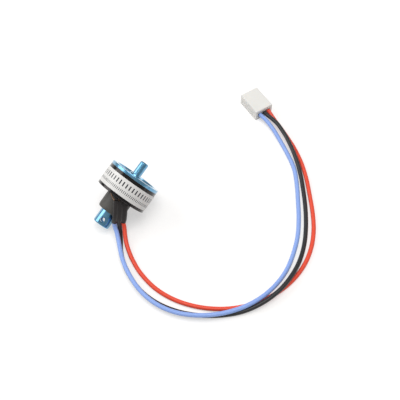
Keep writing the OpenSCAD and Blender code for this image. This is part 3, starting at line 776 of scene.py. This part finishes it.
STRAND_TOOTH = 4  # first of the three teeth whose windings have strands
STRAND_R = 5.8  # where the strands leave the windings
STRAND_BULGE = 0.25
STRAND_STEPS = 20
STRAND_LAY = 0.13  # how far each wire lies from the middle of its strand
STRAND_WIRES = 3
STRAND_WIRE_R = 0.12
STRAND_TWISTS = 2.5


def strand_line(i):
    """Points of one strand in the motor's axes and millimetres, round the hub into the leads' sleeve."""
    leaves_turn = 2 * pi * (STRAND_TOOTH + i) / TOOTH_COUNT
    leaves_station = span("winding_1")[0] / MM
    end = MOTOR.inverted() @ ((Vector(SLEEVE_ROUTE[0]) + LEAD_SPREAD * LEAD_PITCH * (i - 1)) * MM) / MM
    end_r = hypot(end.x, end.y)
    end_turn = Vector((end.x, end.y)).angle_signed(Vector((1, 0))) % (2 * pi)
    line = []
    for k in range(STRAND_STEPS + 1):
        t = k / STRAND_STEPS
        radius = STRAND_R + (end_r - STRAND_R) * t
        turn = leaves_turn + (end_turn - leaves_turn) * t
        station = leaves_station + (end.z - leaves_station) * t - STRAND_BULGE * sin(pi * t) * (1 - t)
        line.append(Vector((radius * cos(turn), radius * sin(turn), station)))
    return line


def make_strands():
    """Each strand is three wires twisted together; all nine are one piece."""
    wires = []
    for i in range(3):
        line = strand_line(i)
        for w in range(STRAND_WIRES):
            points = []
            for k, here in enumerate(line):
                way = (line[min(k + 1, STRAND_STEPS)] - line[max(k - 1, 0)]).normalized()
                side = way.cross(Vector((0, 0, 1))).normalized()
                turn = 2 * pi * (w / STRAND_WIRES + STRAND_TWISTS * k / STRAND_STEPS)
                off = side * cos(turn) + way.cross(side) * sin(turn)
                points.append(MOTOR @ ((here + off * STRAND_LAY) * MM))
            wires.append(smooth_curve(f"strand_wire_{i}_{w}", points, STRAND_WIRE_R * MM, sides=8, steps=4))
    with bpy.context.temp_override(active_object=wires[0], selected_editable_objects=wires):
        bpy.ops.object.join()
    wires[0].name = "twisted_copper_strands"
    dress(wires[0], "copper_enamel", "stator", "winding_strands")


# Plug housing: moulded box with a channel for each contact and a window under each channel
CHANNEL_W = 1.64
WINDOW_W = 1.5
WINDOW_LEN = 2.4
WINDOW_AT = 1.8
PLUG_EDGE = 0.18
GROOVE_W = 0.5
GROOVE_DEPTH = 0.25
GROOVE_INSET = 1.2  # from each end of the housing
OVERRUN = 1  # of each cut past the housing's faces


def boxes(name, corners):
    """One object of separate boxes, each from its lowest and its highest corner in millimetres."""
    shape = bmesh.new()
    for low, high in corners:
        low, high = Vector(low) * MM, Vector(high) * MM
        size = high - low
        place = Matrix.Translation((low + high) / 2) @ Matrix.Diagonal((*size, 1))
        bmesh.ops.create_cube(shape, size=1, matrix=place)
    mesh = bpy.data.meshes.new(name)
    shape.to_mesh(mesh)
    shape.free()
    made = bpy.data.objects.new(name, mesh)
    bpy.context.scene.collection.objects.link(made)
    return made


def cut_away(piece, cutter):
    """Takes the cutter's space out of the piece for good."""
    cut = piece.modifiers.new("cut", "BOOLEAN")
    cut.object = cutter
    cut.solver = "EXACT"
    bpy.context.view_layer.update()
    done = piece.evaluated_get(bpy.context.evaluated_depsgraph_get())
    mesh = bpy.data.meshes.new_from_object(done)
    piece.modifiers.clear()
    piece.data = mesh
    bpy.data.objects.remove(cutter)


def make_plug():
    place = Matrix.Translation(Vector((PLUG_PLACE.x, PLUG_PLACE.y, 0)) * MM)
    plug = place @ Matrix.Rotation(PLUG_TURN, 4, "Z")
    low, high = [corner / MM for corner in extent("plug_housing", plug)]
    middle = (low.z + high.z) / 2
    housing = boxes("moulded_plug_housing", [(low, high)])
    spots = [PLUG_PITCH * i for i in (-1, 0, 1)]
    half = CHANNEL_W / 2
    cut_away(housing, boxes("channels", [
        ((x - half, -OVERRUN, middle - half), (x + half, high.y + OVERRUN, middle + half))
        for x in spots
    ]))
    window_front = high.y - WINDOW_AT
    cut_away(housing, boxes("windows", [
        ((x - WINDOW_W / 2, window_front - WINDOW_LEN, -OVERRUN), (x + WINDOW_W / 2, window_front, middle))
        for x in spots
    ]))
    groove_front = high.y - GROOVE_INSET
    cut_away(housing, boxes("side_grooves", [
        ((x - GROOVE_DEPTH, GROOVE_INSET, middle - GROOVE_W), (x + GROOVE_DEPTH, groove_front, middle))
        for x in (-high.x, high.x)
    ]))
    housing.data.transform(plug)
    edge = housing.modifiers.new("moulded edges", "BEVEL")
    edge.width = PLUG_EDGE * MM
    edge.segments = 3
    dress(housing, "white_nylon", "stator", "plug_housing")
    return housing


# Floor, lamps and surroundings, in metres and watts
FLOOR_R = 4
FLOOR_GLOW = 0.5
WORLD_STRENGTH = 0.38
LAMPS = {
    "key": {"place": Vector((-0.37, 0.78, 0.68)), "size": 0.8, "power": 4},
    "top": {"place": Vector((0.03, -0.06, 1.3)), "size": 1, "power": 7.9},
}


def seen_rays(material):
    """One where the camera, a reflection or a see-through ray meets this, and zero elsewhere."""
    rays = add(material, "LightPath", {})
    seen = rays["Is Camera Ray"]
    for kind in ("Is Glossy Ray", "Is Transmission Ray"):
        seen = add(material, "Math", {0: seen, 1: rays[kind]}, operation="MAXIMUM")["Value"]
    return seen


def white_floor():
    """Pale floor that the camera and reflections see as white where it is lit, and that keeps shadows."""
    material, shader = start_material("floor")
    shader.inputs["Base Color"].default_value = linear("#cfcdcb")
    shader.inputs["Roughness"].default_value = 0.9
    shader.inputs["Specular IOR Level"].default_value = 0
    glow = add(material, "Math", {0: seen_rays(material), 1: FLOOR_GLOW}, operation="MULTIPLY")["Value"]
    light = add(material, "Emission", {"Color": (1, 1, 1, 1), "Strength": glow})
    both = add(material, "AddShader", {0: shader.outputs["BSDF"], 1: light["Emission"]})
    output = material.node_tree.nodes["Material Output"]
    join(material, both["Shader"], output.inputs["Surface"])
    return material


def make_floor():
    mesh = bpy.data.meshes.new("floor")
    shape = bmesh.new()
    bmesh.ops.create_circle(shape, cap_ends=True, segments=64, radius=FLOOR_R)
    shape.to_mesh(mesh)
    shape.free()
    mesh.materials.append(white_floor())
    floor = bpy.data.objects.new("floor", mesh)
    bpy.context.scene.collection.objects.link(floor)


def make_lamp(name, place, size, power):
    data = bpy.data.lights.new(name, "AREA")
    data.shape = "DISK"
    data.size = size
    data.energy = power
    lamp = bpy.data.objects.new(name, data)
    lamp.location = place
    lamp.rotation_euler = (-place).to_track_quat("-Z", "Y").to_euler()
    bpy.context.scene.collection.objects.link(lamp)


def make_surroundings():
    world = bpy.data.worlds.new("studio")
    bpy.context.scene.world = world
    world.use_nodes = True
    world.node_tree.nodes["Background"].inputs["Color"].default_value = (1, 1, 1, 1)
    world.node_tree.nodes["Background"].inputs["Strength"].default_value = WORLD_STRENGTH
    for name, lamp in LAMPS.items():
        make_lamp(name, **lamp)


make_camera()
materials = make_materials()
for part in frame["record"]["subparts"]:
    solid = nodes[part["node"]]
    solid.data.materials.clear()
    solid.data.materials.append(materials[part["material_slot"]])
housing = make_plug()
make_leads()
make_front_bell()
make_label()
make_hub()
make_hub_sleeve()
make_lead_sleeve()
make_strands()
for i in range(1, TOOTH_COUNT + 1):
    make_winding(i)
make_floor()
make_surroundings()
bpy.context.scene.view_settings.view_transform = "Standard"
